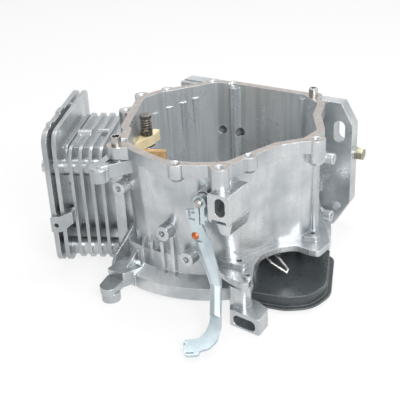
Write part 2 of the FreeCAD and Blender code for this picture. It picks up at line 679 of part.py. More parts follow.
# Cover dowels, the left one a sleeve
nodes.append(ring("cover_dowel_left", "dowel_radius", "dowel_bore", "dowel_sunk + dowel_height", dowel_spots[0][0],
                  dowel_spots[0][1], "-dowel_sunk"))
right_pin = cut("cover_dowel_right", fuse("right_pin_body", [
    rod("right_pin_rod", "dowel_radius", "dowel_sunk + dowel_height - 1"),
    cone("right_pin_tip", "dowel_radius", "dowel_radius - 0.8", 1, 0, 0, "dowel_sunk + dowel_height - 1"),
]), [rod("right_pin_bore", "dowel_bore - 1.2", "dowel_sunk + dowel_height", 0, 0, 4)])
nodes.append(at(right_pin, dowel_spots[1][0], dowel_spots[1][1], "-dowel_sunk"))

# Head dowels around two of the studs
sleeves = []
for i in (0, 3):
    x, y = stud_spots[i]
    sleeves.append(ring("head_sleeve_%d" % i, "head_dowel_radius", "stud_radius + 0.4", "head_dowel_length", x, y,
                        "deck - head_dowel_length / 2"))
nodes.append(at(fuse("head_dowels", sleeves), rot=BANK))

# Drain bolt and washer
drain = fuse("drain_bolt", [
    rod("drain_shank", "drain_radius", "drain_length + washer_thick + 1", 0, 0, "-drain_length"),
    rod("drain_collar", "washer_radius - 0.4", 1.6, 0, 0, "washer_thick"),
    hexagon("drain_hex", "drain_head", "drain_head_height", 0, 0, "washer_thick + 1.4"),
])
nodes.append(at(drain, "plate_right + 0.5", drain_y, "-drain_drop", RIGHT))
nodes.append(ring("drain_washer", "washer_radius", "drain_radius", "washer_thick", "plate_right + 0.5", drain_y,
                  "-drain_drop", RIGHT))

# Main bearing: rings, balls and cage
track = (size("bearing_outer") + size("bearing_inner")) / 4


def groove(label):
    """Ball track shared by both rings."""
    obj = new("Part::Torus", label)
    bind(obj, "Radius1", "(bearing_outer + bearing_inner) / 4")
    bind(obj, "Radius2", "ball + running_gap")
    return at(obj, 0, 0, "bearing_width / 2")


outer_ring = cut("bearing_outer_ring", ring("outer_race", "bearing_outer / 2", "bearing_outer / 2 - race_wall", "bearing_width"),
                 [groove("outer_groove")])
inner_ring = cut("bearing_inner_ring", ring("inner_race", "bearing_inner / 2 + race_wall", "bearing_inner / 2", "bearing_width"),
                 [groove("inner_groove")])
balls, pockets = [], []
for k in range(int(size("ball_count"))):
    angle = 360 / size("ball_count") * k
    x, y = polar(track, angle)
    balls.append(ball("ball_%d" % k, "ball", x, y, 0))
    x, y = polar(track - 6, angle)
    pockets.append(rod("pocket_%d" % k, "ball + running_gap", 12, x, y, "cage_width / 2", about_z(angle).multiply(RIGHT)))
cage = cut("bearing_cage", ring("cage_ring", "(bearing_outer + bearing_inner) / 4 + cage_half",
                                "(bearing_outer + bearing_inner) / 4 - cage_half", "cage_width"), pockets)
for obj in (outer_ring, inner_ring):
    nodes.append(at(obj, 0, 0, "-well_depth - bearing_width"))
nodes.append(at(fuse("bearing_balls", balls), 0, 0, "-well_depth - bearing_width / 2"))
nodes.append(at(cage, 0, 0, "-well_depth - bearing_width / 2 - cage_width / 2"))

# Crankshaft oil seal below the bearing
seal_case = ring("seal_case", "seal_outer / 2", "bearing_inner / 2 + seal_lip", "seal_width")
lip = cut("seal_lip_ring", cone("seal_lip_outside", "bearing_inner / 2 + seal_lip + 0.5", "bearing_inner / 2 + 1.5",
                                "seal_width * 0.5", 0, 0, "seal_width * 0.3"),
          [cone("seal_lip_inside", "bearing_inner / 2 + seal_lip - 0.5", "bearing_inner / 2 + 0.2", "seal_width * 0.5", 0, 0,
                "seal_width * 0.3")])
nodes.append(at(fuse("crank_oil_seal", [seal_case, lip]), 0, 0, "-well_depth - bearing_width - seal_width"))

# Governor shaft with its cross hole
shaft = cut("governor_shaft", fuse("shaft_body", [
    rod("shaft_rod", "shaft_radius", "shaft_tip - 74"),
    cone("shaft_end", "shaft_radius", "shaft_radius - 1", 1.2, 0, 0, "shaft_tip - 74"),
]), [rod("shaft_cross_hole", 1.1, 16, -8, 0, "shaft_tip - 77", RIGHT)])
nodes.append(at(shaft, "shaft_x", -74, "-shaft_drop", FRONT))

# Governor inner lever on the shaft, inside the case
lever = cut("governor_inner_lever", fuse("lever_body", [
    rod("lever_hub", "shaft_radius + 3.5", 10),
    slab("lever_web", [(-4, 0, 0), (4, 0, 0), (6, -size("lever_reach"), 5), (-6, -size("lever_reach"), 5)], 3, z=3),
    box("lever_foot", 12, 10, 10, -6, "-lever_reach - 2", 3),
]), [rod("lever_hole", "shaft_radius", 14, 0, 0, -2)])
nodes.append(at(lever, "shaft_x", -76, "-shaft_drop", FRONT))

# Governor arm: upright blade, sloping link and outer hook, each a flat plate in its own plane
face = -size("arm_face")
bend_one = (face, -111.0)
bend_two = (-137.0, -128.5)
link_length = math.hypot(bend_two[0] - bend_one[0], bend_two[1] - bend_one[1])
link_slope = math.degrees(math.atan2(bend_one[1] - bend_two[1], bend_one[0] - bend_two[0]))
hook_slope = 14.0


def bent(label, points, origin, slope, thick="arm_sheet"):
    """Plate that falls outwards by a slope from a bend line across the arm."""
    return slab(label, points, thick, 0, origin[0], origin[1], turn(vec(1, 0, 0), 180 + slope))


upper = cut("arm_upper", slab("arm_blade", [(44.5, -42, 1), (59, -38.5, 1), (61, -52, 1), (67, -66, 3), (78, -111.5, 0),
                                            (67, -111.5, 0), (52, -66, 3)], "arm_sheet", y="-arm_face + arm_sheet", rot=FRONT),
            [slab("arm_window", rectangle(48, -50.4, 55, -41.6, 0.5), 8, y=-114, rot=FRONT)])
link = bent("arm_link", [(67, -1.2, 0), (78, -1.2, 0), (88.5, link_length + 1, 0), (77.5, link_length + 1, 0)],
            bend_one, link_slope)
hook = bent("arm_hook", [(77.5, -1.2, 0), (88.5, -1.2, 0), (93.9, 8.8, 6), (98.3, 23.4, 10), (95.9, 34.5, 8), (90, 38.5, 3),
                         (91.5, 43.5, 2), (80.5, 49, 5), (70.8, 34.3, 3), (83, 27.5, 5), (84, 19, 6), (82.4, 9.7, 8)],
            bend_two, hook_slope)
side_flange = slab("arm_flange", [(65.5, -66, 0), (67.4, -67, 1), (78, -110, 1), (76, -110.5, 0)], 3.5, y="-arm_face + 3.5", rot=FRONT)
clamp = fuse("arm_clamp", [
    rod("clamp_hub", "clamp_radius", "arm_face - boss_face - 0.3", "shaft_x", "-boss_face - 0.3", "-shaft_drop", FRONT),
    slab("clamp_ears", rectangle(-5, 0, 5, 20), "arm_face - boss_face - 0.3", "shaft_x", "-boss_face - 0.3",
         "-shaft_drop - 20", FRONT),
])
arm_tools = [
    rod("arm_bore", "shaft_radius", 30, "shaft_x", -100, "-shaft_drop", FRONT),
    slab("arm_slit", rectangle(-0.7, 0, 0.7, 22), 30, "shaft_x", -100, "-shaft_drop - 21", FRONT),
    rod("clamp_hole", "clamp_bolt_radius", 30, "shaft_x - 10", "-clamp_bolt_y", "-clamp_bolt_drop", RIGHT),
    rod("rivet_hole", "rivet_radius", 10, "rivet_x", -112, "-rivet_drop", FRONT),
    bent("hook_hole", [(73.5, 36.5, 0.7), (76, 38.5, 0.7), (75.2, 39.8, 0.7), (72.7, 37.8, 0.7)], bend_two, hook_slope),
    bent("hook_slot", [(80, 45.2, 0.7), (86.5, 42.4, 0.7), (87, 43.6, 0.7), (80.6, 46.6, 0.7)], bend_two, hook_slope),
]
nodes.append(cut("governor_arm", fuse("arm_body", [upper, link, hook, side_flange, clamp]), arm_tools))

# Clamp bolt, nut and rivet of the arm
bolt = fuse("governor_clamp_bolt", [
    rod("clamp_shank", "clamp_bolt_radius", 13),
    hexagon("clamp_head", "clamp_bolt_radius * 1.9", 3.5, 0, 0, -3.5),
])
nodes.append(at(bolt, "shaft_x - 5", "-clamp_bolt_y", "-clamp_bolt_drop", RIGHT))
nut = cut("governor_clamp_nut", hexagon("nut_body", "clamp_bolt_radius * 1.9", 2.5),
          [rod("nut_bore", "clamp_bolt_radius", 6, 0, 0, -1)])
nodes.append(at(nut, "shaft_x + 5", "-clamp_bolt_y", "-clamp_bolt_drop", RIGHT))
rivet_dome = cut("rivet_dome", ball("rivet_ball", "rivet_radius + 1.4", 0, 0, -1.6), [box("rivet_trim", 12, 12, 8, -6, -6, -8)])
rivet = fuse("governor_rivet", [rivet_dome, rod("rivet_shank", "rivet_radius", "arm_sheet + 1", 0, 0, "-arm_sheet - 1")])
nodes.append(at(rivet, "rivet_x", "-arm_face", "-rivet_drop", FRONT))
nodes.append(ring("governor_shaft_seal", "seal_ring_radius", "shaft_radius + running_gap", "seal_ring_width", "shaft_x",
                  "-boss_face + 4", "-shaft_drop", FRONT))

# Chain tensioner: blade, pivot bolt, torsion spring and collar
blade_shape = [(-3.5, -37, 3), (2.5, -37, 3), (5.5, -8, 4), (6, 4, 4), (4.5, 17, 2), (-2.5, 17, 2), (-5.5, 2, 6), (-5.5, -8, 4)]
tensioner = cut("tensioner_blade", slab("blade_body", blade_shape, "blade_height"),
                [rod("blade_hole", "pin_radius + running_gap", 14, 0, 0, -2)])
nodes.append(at(tensioner, "pin_x", "pin_y", "-blade_top - blade_height"))
pin = fuse("tensioner_pivot_bolt", [
    rod("pin_rod", "pin_radius", "blade_top + blade_height - pin_top - 2.5"),
    rod("pin_thread", "pin_radius - 1", 7, 0, 0, -7),
    rod("pin_head", "pin_radius + 2", 3, 0, 0, "blade_top + blade_height - pin_top - 2.5"),
])
nodes.append(at(pin, "pin_x", "pin_y", "-blade_top - blade_height - 0.5"))
helix = new("Part::Helix", "coil_line")
bind(helix, "Radius", "coil_radius")
bind(helix, "Pitch", "coil_pitch")
bind(helix, "Height", "coil_turns * coil_pitch")
at(helix, "pin_x", "pin_y", "-coil_drop")
wire_ring = new("Part::Circle", "coil_section")
bind(wire_ring, "Radius", "wire")
at(wire_ring, "pin_x + coil_radius", "pin_y", "-coil_drop", FRONT)
coil = new("Part::Sweep", "coil")
coil.Sections = [wire_ring]
coil.Spine = (helix, [])
coil.Solid = True
coil.Frenet = True
nodes.append(fuse("tensioner_spring", [
    coil,
    rod("spring_leg", "wire", 14, "pin_x + coil_radius", "pin_y", "-coil_drop", REAR),
    rod("spring_tail", "wire", 12, "pin_x + coil_radius", "pin_y", "-coil_drop + coil_turns * coil_pitch", FRONT),
]))
nodes.append(ring("tensioner_collar", "collar_radius", "pin_radius", "blade_top - coil_drop - wire - 0.7", "pin_x", "pin_y",
                  "-blade_top + 0.5"))

# Chain guide along the front side of the tunnel
guide_height = size("chain_bottom") - size("chain_top") - 2
along_bank = about_z(180 + size("cylinder_tilt")).multiply(turn(vec(1, 0, 0), 180))
guide_body = slab("guide_body", [(0, 0, 2), (0, size("guide_thick"), 2), (8, size("guide_thick") + 1, 3),
                                 (size("guide_length"), size("guide_thick"), 2), (size("guide_length"), 0, 0)], guide_height)
guide_holes = []
for i, along in enumerate(guide_bolts):
    spot = along - size("guide_start")
    guide_holes.append(rod("guide_bolt_hole_%d" % i, "guide_bolt", 12, spot, -2, guide_height / 2, REAR))
    guide_holes.append(rod("guide_sink_%d" % i, "guide_bolt + 2", 6, spot, "guide_thick - 3", guide_height / 2, REAR))
guide = cut("chain_guide", guide_body, guide_holes)
start_x, start_y = bank_point(size("guide_start"), tunnel_wall)
nodes.append(at(guide, start_x, start_y, "-chain_top - 1", along_bank))
bolts = []
for i, along in enumerate(guide_bolts):
    bolts.append(fuse("guide_screw_%d" % i, [
        rod("guide_shank_%d" % i, "guide_bolt", "guide_thick + 1", along, -3.5, 0, REAR),
        rod("guide_head_%d" % i, "guide_bolt + 2", 1.8, along, "guide_thick - 3", 0, REAR),
    ]))
bolt_x, bolt_y = bank_point(0, tunnel_wall)
nodes.append(at(fuse("chain_guide_bolts", bolts), bolt_x, bolt_y, "-(chain_top + chain_bottom) / 2", along_bank))

# Fan-side pan: a pressed dish with a rim
pan_plan = [(56, 12, 10), (70, 22, 10), (122, 17, 8), (145, -42, 26), (140, -66, 24), (122, -79, 24), (88, -86, 8), (60, -50, 10)]
dish = cut("fan_side_pan", fuse("pan_body", [
    slab("pan_dish", pan_plan, "pan_rim - pan_top", z="-pan_rim"),
    slab("pan_flange_plate", stretched(pan_plan, size("pan_flange")), "pan_sheet", z="-pan_rim"),
]), [slab("pan_room", stretched(pan_plan, -size("pan_sheet")), "pan_rim - pan_top - pan_sheet", z="-pan_rim")] +
    [rod("pan_screw_hole_%d" % i, "pan_screw", 8, x, y, "-pan_top - 5") for i, (x, y) in enumerate(pan_screws)])
nodes.append(dish)
screws = []
for i, (x, y) in enumerate(pan_screws):
    screws.append(fuse("pan_screw_%d" % i, [
        rod("pan_screw_rod_%d" % i, "pan_screw", 12, x, y, "-pan_top - pan_sheet"),
        rod("pan_screw_cap_%d" % i, "pan_screw_head", 2.4, x, y, "-pan_top - pan_sheet - 2.4"),
    ]))
nodes.append(fuse("pan_screws", screws))

# Wire clip: a bent hairpin that comes out over the pan
clip_path = [clip_root + (-105,), clip_root + (-111,), (96, -57, -114), (110.5, -54.8, -121.5), (110.5, -52, -119.5),
             (100, -48.5, -113), (93, -45, -111)]
clip_parts = []
for i in range(len(clip_path) - 1):
    a, b = vec(*clip_path[i]), vec(*clip_path[i + 1])
    clip_parts.append(rod("clip_rod_%d" % i, "clip_wire", (b - a).Length, a.x, a.y, a.z, turn(vec(0, 0, 1), b - a)))
    clip_parts.append(ball("clip_knee_%d" % i, "clip_wire", b.x, b.y, b.z))
nodes.append(fuse("wire_clip", clip_parts))

doc.recompute()
for obj in doc.Objects:
    if "Invalid" in obj.State or "Error" in obj.State:
        raise RuntimeError("%s did not compute: %s" % (obj.Label, obj.State))
os.makedirs("parts", exist_ok=True)
for node in nodes:
    shape = node.Shape
    if shape.isNull() or not shape.isValid():
        raise RuntimeError("%s has no valid shape" % node.Label)
    span = shape.BoundBox
    print(node.Label, len(shape.Solids), round(shape.Volume),
          [round(v, 1) for v in (span.XMin, span.XMax, span.YMin, span.YMax, span.ZMin, span.ZMax)])
    shape.exportStep("parts/%s.step" % node.Label)
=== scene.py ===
import bpy
import bmesh
import json
import math
from mathutils import Matrix, Vector


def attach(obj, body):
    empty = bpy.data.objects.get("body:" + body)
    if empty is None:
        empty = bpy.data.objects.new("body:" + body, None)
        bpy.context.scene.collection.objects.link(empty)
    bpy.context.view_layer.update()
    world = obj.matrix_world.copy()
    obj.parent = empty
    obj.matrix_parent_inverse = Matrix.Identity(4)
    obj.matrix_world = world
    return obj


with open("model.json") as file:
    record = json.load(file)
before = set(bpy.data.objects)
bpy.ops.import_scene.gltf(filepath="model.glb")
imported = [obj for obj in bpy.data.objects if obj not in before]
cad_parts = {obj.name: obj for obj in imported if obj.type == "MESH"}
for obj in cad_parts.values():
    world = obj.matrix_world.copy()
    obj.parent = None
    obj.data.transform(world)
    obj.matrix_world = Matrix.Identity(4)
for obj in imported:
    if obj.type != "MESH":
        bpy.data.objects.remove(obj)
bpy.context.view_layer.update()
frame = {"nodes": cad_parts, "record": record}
nodes = frame["nodes"]

# Air-cooled engine block on a pale floor. The part's sizes are in millimetres, the studio's places in metres.
mm = 0.001
tilt = math.radians(25)                                    # lean of the cylinder bank
along = Vector((-math.cos(tilt), -math.sin(tilt), 0))      # cylinder axis, outwards
across = Vector((-math.sin(tilt), math.cos(tilt), 0))      # square to it, in the gasket face's plane


# Hex colour turned linear
def linear(code):
    parts = [int(code[i:i + 2], 16) / 255 for i in (1, 3, 5)]
    return [c / 12.92 if c <= 0.04045 else ((c + 0.055) / 1.055) ** 2.4 for c in parts] + [1]


# Adds a node: each input is either a plain value or a socket to link from
def addNode(tree, kind, settings=None, inputs=None):
    node = tree.nodes.new(kind)
    for name, value in (settings or {}).items():
        setattr(node, name, value)
    for socket, value in (inputs or {}).items():
        if isinstance(value, bpy.types.NodeSocket):
            tree.links.new(value, node.inputs[socket])
        else:
            node.inputs[socket].default_value = value
    return node


# Material with its shader and a place in millimetres to hang patterns on
def startMaterial(name, look):
    material = bpy.data.materials.new(name)
    material.use_nodes = True
    tree = material.node_tree
    shader = tree.nodes["Principled BSDF"]
    shader.inputs["Metallic"].default_value = look["metallic"]
    place = addNode(tree, "ShaderNodeTexCoord")
    sized = addNode(tree, "ShaderNodeMapping",
                    inputs={"Vector": place.outputs["Object"], "Scale": (1000, 1000, 1000)})
    return material, tree, shader, sized.outputs["Vector"]


# Noise whose patches are about sizeMm across, spread over 0 to 1
def blotches(tree, vector, sizeMm, stretch=(1, 1, 1), detail=3.0, low=0.35, high=0.65):
    turned = addNode(tree, "ShaderNodeMapping", inputs={"Vector": vector, "Scale": stretch})
    noise = addNode(tree, "ShaderNodeTexNoise",
                    inputs={"Vector": turned.outputs["Vector"], "Scale": 1 / sizeMm, "Detail": detail})
    spread = addNode(tree, "ShaderNodeMapRange",
                     inputs={"Value": noise.outputs["Fac"], "From Min": low, "From Max": high})
    return spread.outputs["Result"]


# Base colour under layers, each a mask, its share and a colour
def layered(tree, tone, layers):
    for mask, share, colour in layers:
        amount = addNode(tree, "ShaderNodeMath", {"operation": "MULTIPLY"}, {0: mask, 1: share})
        mixed = addNode(tree, "ShaderNodeMix", {"data_type": "RGBA"}, {0: amount.outputs[0], 6: tone, 7: colour})
        tone = mixed.outputs[2]
    return tone


# How far the rounded normal turns from the flat one, as a cosine, where the painted edge highlight starts and is
# full
edgeTurn = {"samples": 4, "starts": 0.995, "full": 0.85}


# Normal that rounds edges by a radius, and a mask that is 1 on them for the painted edge highlight
def softEdges(tree, radiusMm):
    rounded = addNode(tree, "ShaderNodeBevel", {"samples": edgeTurn["samples"]}, {"Radius": radiusMm * mm})
    flat = addNode(tree, "ShaderNodeNewGeometry")
    both = addNode(tree, "ShaderNodeVectorMath", {"operation": "DOT_PRODUCT"},
                   {0: rounded.outputs["Normal"], 1: flat.outputs["Normal"]})
    mask = addNode(tree, "ShaderNodeMapRange",
                   inputs={"Value": both.outputs["Value"], "From Min": edgeTurn["starts"],
                           "From Max": edgeTurn["full"]})
    return rounded.outputs["Normal"], mask.outputs["Result"]


# Links the colour, the roughness between two ends of a mask, and the relief into the shader
def dress(tree, shader, colour, mask, look, height, normal):
    rough = addNode(tree, "ShaderNodeMapRange",
                    inputs={"Value": mask, "To Min": look["roughness"] - look["roughDip"],
                            "To Max": look["roughness"] + look["roughSpread"]})
    relief = addNode(tree, "ShaderNodeBump",
                     inputs={"Strength": 1.0, "Distance": look["reliefMm"] * mm,
                             "Height": height, "Normal": normal})
    tree.links.new(colour, shader.inputs["Base Color"])
    tree.links.new(rough.outputs["Result"], shader.inputs["Roughness"])
    tree.links.new(relief.outputs["Normal"], shader.inputs["Normal"])


# Sand-cast aluminium, tumbled: pale grey, bluish in the shade, with faces milled flat
castLook = {
    "metallic": 0.9, "roughness": 0.3, "roughDip": 0.05, "roughSpread": 0.05, "reliefMm": 0.06, "patchRelief": 0.3,
    # The darkest colour serves the grain and the painted shade over the fin bank
    "pale": "#D8DADB", "dark": "#A9AFB3", "edge": "#F6F7F7", "grainAndFinShade": "#6C7175",
    "patchMm": 34, "patchShare": 0.85, "streakMm": 5, "streakStretch": (1, 1, 0.07), "streakShare": 0.25,
    # The edge colour and its share paint a highlight along the edges
    "grainMm": 1.4, "grainShare": 0.12, "edgeMm": 0.8, "edgeHighlightShare": 0.75,
    # Milled faces, browned and speckled: each lies at a value along an axis and faces one way
    "milledFaces": [("z", 0.0, (0, 0, 1)), ("y", 106.0, (0, 1, 0)), ("along", 154.0, tuple(along))],
    "milledDepth": 0.15, "milledSquare": 0.95,
    "milled": "#ABA49F", "milledSpot": "#776E69", "milledPale": "#C4BEBA",
    "mottleMm": 7, "mottleShare": 0.6, "speckMm": 1.6, "speckShare": 0.5, "milledEdgeHighlightShare": 0.5,
    # Walls round the crank, paler, duller and streaked downwards
    "caseFloor": -103.0, "caseBack": 88.0, "hollowTurn": -8.0,
    "hollowPale": "#E6E9EA", "hollowShare": 0.7, "hollowMetallic": 0.7,
    "hollowStreak": "#A3ADB4", "hollowStreakMm": 7, "hollowStreakStretch": (1, 1, 0.05), "hollowStreakShare": 0.4,
    # Painted shade over the fin bank, standing for the dark gaps between the fins, from here outwards along the
    # cylinder axis
    "finsStart": 84.0, "finsFull": 96.0, "finShadeShare": 0.3,
}


def castAluminium():
    look = castLook
    material, tree, shader, place = startMaterial("castAluminium", look)
    parts = addNode(tree, "ShaderNodeSeparateXYZ", inputs={"Vector": place})
    bankSide = addNode(tree, "ShaderNodeVectorMath", {"operation": "DOT_PRODUCT"}, {0: place, 1: tuple(along)})
    spots = {"x": parts.outputs["X"], "y": parts.outputs["Y"], "z": parts.outputs["Z"],
             "along": bankSide.outputs["Value"]}
    facing = addNode(tree, "ShaderNodeNewGeometry").outputs["Normal"]
    milled = 0.0
    for axis, value, out in look["milledFaces"]:
        near = addNode(tree, "ShaderNodeMath", {"operation": "COMPARE"},
                       {0: spots[axis], 1: value, 2: look["milledDepth"]})
        square = addNode(tree, "ShaderNodeVectorMath", {"operation": "DOT_PRODUCT"}, {0: facing, 1: out})
        flat = addNode(tree, "ShaderNodeMath", {"operation": "GREATER_THAN"},
                       {0: square.outputs["Value"], 1: look["milledSquare"]})
        both = addNode(tree, "ShaderNodeMath", {"operation": "MULTIPLY"}, {0: near.outputs[0], 1: flat.outputs[0]})
        most = addNode(tree, "ShaderNodeMath", {"operation": "MAXIMUM"}, {0: milled, 1: both.outputs[0]})
        milled = most.outputs[0]

    # Walls that face the crank axis above the case floor
    sideways = addNode(tree, "ShaderNodeVectorMath", {"operation": "MULTIPLY"}, {0: place, 1: (1, 1, 0)})
    inward = addNode(tree, "ShaderNodeVectorMath", {"operation": "DOT_PRODUCT"},
                     {0: sideways.outputs["Vector"], 1: facing})
    towards = addNode(tree, "ShaderNodeMath", {"operation": "LESS_THAN"},
                      {0: inward.outputs["Value"], 1: look["hollowTurn"]})
    above = addNode(tree, "ShaderNodeMath", {"operation": "GREATER_THAN"}, {0: spots["z"], 1: look["caseFloor"]})
    before = addNode(tree, "ShaderNodeMath", {"operation": "LESS_THAN"}, {0: spots["y"], 1: look["caseBack"]})
    walled = addNode(tree, "ShaderNodeMath", {"operation": "MULTIPLY"},
                     {0: towards.outputs[0], 1: above.outputs[0]})
    inside = addNode(tree, "ShaderNodeMath", {"operation": "MULTIPLY"},
                     {0: walled.outputs[0], 1: before.outputs[0]})
    hollow = inside.outputs[0]
    down = blotches(tree, place, look["hollowStreakMm"], stretch=look["hollowStreakStretch"], low=0.42, high=0.62)
    hollowStreak = addNode(tree, "ShaderNodeMath", {"operation": "MULTIPLY"}, {0: hollow, 1: down}).outputs[0]

    patch = blotches(tree, place, look["patchMm"], detail=5)
    streak = blotches(tree, place, look["streakMm"], stretch=look["streakStretch"], detail=4)
    grain = blotches(tree, place, look["grainMm"], detail=2, low=0.3, high=0.7)
    # Mask of the painted shade that darkens the fin bank
    fins = addNode(tree, "ShaderNodeMapRange",
                   inputs={"Value": spots["along"], "From Min": look["finsStart"], "From Max": look["finsFull"]})
    normal, edge = softEdges(tree, look["edgeMm"])
    cast = layered(tree, linear(look["pale"]), [
        (patch, look["patchShare"], linear(look["dark"])),
        (streak, look["streakShare"], linear(look["dark"])),
        (grain, look["grainShare"], linear(look["grainAndFinShade"])),
        (hollow, look["hollowShare"], linear(look["hollowPale"])),
        (hollowStreak, look["hollowStreakShare"], linear(look["hollowStreak"])),
        # Painted shade over the fin bank
        (fins.outputs["Result"], look["finShadeShare"], linear(look["grainAndFinShade"])),
        # Painted highlight along the edges
        (edge, look["edgeHighlightShare"], linear(look["edge"])),
    ])
    specks = blotches(tree, place, look["speckMm"], detail=4, low=0.56, high=0.66)
    mottle = blotches(tree, place, look["mottleMm"], detail=4)
    face = layered(tree, linear(look["milled"]), [
        (mottle, look["mottleShare"], linear(look["milledPale"])),
        (specks, look["speckShare"], linear(look["milledSpot"])),
        # Painted highlight along the milled edges
        (edge, look["milledEdgeHighlightShare"], linear(look["edge"])),
    ])
    colour = layered(tree, cast, [(milled, 1.0, face)])
    height = addNode(tree, "ShaderNodeMath", {"operation": "MULTIPLY_ADD"},
                     {0: patch, 1: look["patchRelief"], 2: grain})
    shine = addNode(tree, "ShaderNodeMapRange",
                    inputs={"Value": hollow, "To Min": look["metallic"], "To Max": look["hollowMetallic"]})
    tree.links.new(shine.outputs["Result"], shader.inputs["Metallic"])
    dress(tree, shader, colour, patch, look, height.outputs[0], normal)
    return material


# Plain metal or plastic with fine marks from how it was made
def plainStuff(name, look):
    material, tree, shader, place = startMaterial(name, look)
    marks = blotches(tree, place, look["markMm"], stretch=look["stretch"])
    cloud = blotches(tree, place, look["cloudMm"])
    normal, edge = softEdges(tree, look["edgeMm"])
    colour = layered(tree, linear(look["pale"]), [
        (cloud, 1.0, linear(look["dark"])),
        (marks, look["markShare"], linear(look["mark"])),
        # Painted highlight along the edges
        (edge, look["edgeHighlightShare"], linear(look["edge"])),
    ])
    dress(tree, shader, colour, marks, look, marks, normal)
    return material


# What the plain looks share unless they say otherwise
commonLook = {
    "metallic": 0, "roughDip": 0.05, "roughSpread": 0.09, "stretch": (1, 1, 1), "cloudMm": 9,
    "markShare": 0.25, "edgeHighlightShare": 0.5, "edgeMm": 0.4, "reliefMm": 0.03,
}
# Each look's edge colour is a painted highlight along its edges
plainLooks = {
    # Ground and hardened steel: bright, with fine marks round it
    "bright_steel": {
        "pale": "#D4D3D1", "dark": "#A9A7A4", "mark": "#7E7B78", "edge": "#F0F0F0",
        "metallic": 1, "roughness": 0.26, "markMm": 0.9, "stretch": (0.2, 0.2, 2.4),
    },
    # Zinc-plated steel with a clear bluish passivation: smooth, pale and cold
    "zinc_steel": {
        "pale": "#D3DEE2", "dark": "#B4C2C8", "mark": "#73828A", "edge": "#F2F5F6",
        "metallic": 0.8, "roughness": 0.36, "markMm": 14, "stretch": (1, 1, 0.4), "cloudMm": 30, "roughSpread": 0.05,
        "markShare": 0.06, "edgeHighlightShare": 0.0, "edgeMm": 0.2, "reliefMm": 0.001,
    },
    # Yellow-passivated zinc gone dull
    "yellow_zinc": {
        "pale": "#BDBBA3", "dark": "#8F8D7B", "mark": "#68675A", "edge": "#DDDCCB",
        "metallic": 0.8, "roughness": 0.38, "markMm": 1.4, "edgeMm": 0.5,
    },
    # Oil-tempered spring steel: dark, with a shine
    "spring_steel": {
        "pale": "#A39D95", "dark": "#6E6963", "mark": "#3A3633", "edge": "#CFCBC4",
        "metallic": 0.95, "roughness": 0.24, "markMm": 0.8, "edgeMm": 0.3, "reliefMm": 0.02,
    },
    # Bare copper rivet, lightly browned
    "copper_rivet": {
        "pale": "#D98455", "dark": "#A85731", "mark": "#74391F", "edge": "#F2B48C",
        "metallic": 0.9, "roughness": 0.36, "markMm": 0.9,
    },
    # Honed grey iron liner: dark, with honing marks drawn coarser than real so that they show
    "iron_liner": {
        "pale": "#8B8C8D", "dark": "#6B6C6E", "mark": "#4B4C4E", "edge": "#C9CACB",
        "metallic": 0.9, "roughness": 0.33, "markMm": 1.1, "stretch": (1, 1, 3), "reliefMm": 0.05,
    },
    # Nylon blade, moulded: pale cream, faintly glossy
    "ivory_nylon": {
        "pale": "#F0E3C0", "dark": "#E0CDA2", "mark": "#C9B385", "edge": "#FFF6DF",
        "roughness": 0.42, "markMm": 4, "stretch": (0.4, 0.4, 2), "cloudMm": 14, "edgeMm": 0.8, "reliefMm": 0.08,
    },
    # Tan nylon guide, moulded, oil-stained in streaks
    "tan_nylon": {
        "pale": "#D9B98A", "dark": "#B98F5C", "mark": "#8E683E", "edge": "#EFD8B2",
        "roughness": 0.45, "markMm": 3, "stretch": (0.5, 0.5, 3), "cloudMm": 8, "markShare": 0.5, "edgeMm": 0.9,
        "reliefMm": 0.1,
    },
    # Pressed sheet steel under satin black paint, with a painted grey highlight along its bends
    "black_sheet": {
        "pale": "#484D4F", "dark": "#3C4143", "mark": "#585D5F", "edge": "#A2A6A8",
        "roughness": 0.3, "markMm": 2.4, "cloudMm": 30, "roughSpread": 0.07, "markShare": 0.05,
        "edgeHighlightShare": 0.55, "edgeMm": 1.6, "reliefMm": 0.012,
    },
    # Nitrile rubber lip seal, moulded: dark and dull
    "seal_rubber": {
        "pale": "#2B2724", "dark": "#1E1B19", "mark": "#3A3531", "edge": "#4A4541",
        "roughness": 0.6, "markMm": 1.5,
    },
}

materials = {"cast_aluminium": castAluminium()}
for slotName, look in plainLooks.items():
    materials[slotName] = plainStuff(slotName, {**commonLook, **look})
for row in frame["record"]["subparts"]:
    node = nodes[row["node"]]
    node.data.materials.clear()
    node.data.materials.append(materials[row["material_slot"]])
print("stage: materials on", len(nodes), "nodes")


# Object at the origin that takes over a bmesh in metres
def meshObject(name, bm, material):
    mesh = bpy.data.meshes.new(name)
    bm.to_mesh(mesh)
    bm.free()
    mesh.materials.append(material)
    piece = bpy.data.objects.new(name, mesh)
    bpy.context.scene.collection.objects.link(piece)
    return piece


# New piece of the part, riding on a body
def finishPiece(name, bm, slotName, body="engine", smoothAngle=35):
    bmesh.ops.remove_doubles(bm, verts=bm.verts, dist=1e-6)
    bmesh.ops.recalc_face_normals(bm, faces=bm.faces)
    piece = meshObject(name, bm, materials[slotName])
    for polygon in piece.data.polygons:
        polygon.use_smooth = True
    piece.data.set_sharp_from_angle(angle=math.radians(smoothAngle))
    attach(piece, body)


# Closed profile of radius and height in millimetres, spun round its own Z and placed
def spunRing(bm, profile, steps, place):
    verts = [bm.verts.new((r * mm, 0, h * mm)) for r, h in profile]
    edges = [bm.edges.new((verts[i - 1], verts[i])) for i in range(len(verts))]
    bmesh.ops.spin(bm, geom=verts + edges, cent=(0, 0, 0), axis=(0, 0, 1), dvec=(0, 0, 0), angle=math.tau,
                   steps=steps, use_merge=True, use_normal_flip=False, use_duplicate=False)
    grown = {v for face in bm.faces for v in face.verts if not v.tag}
    bmesh.ops.transform(bm, matrix=place, verts=list(grown))
    for v in grown:
        v.tag = True


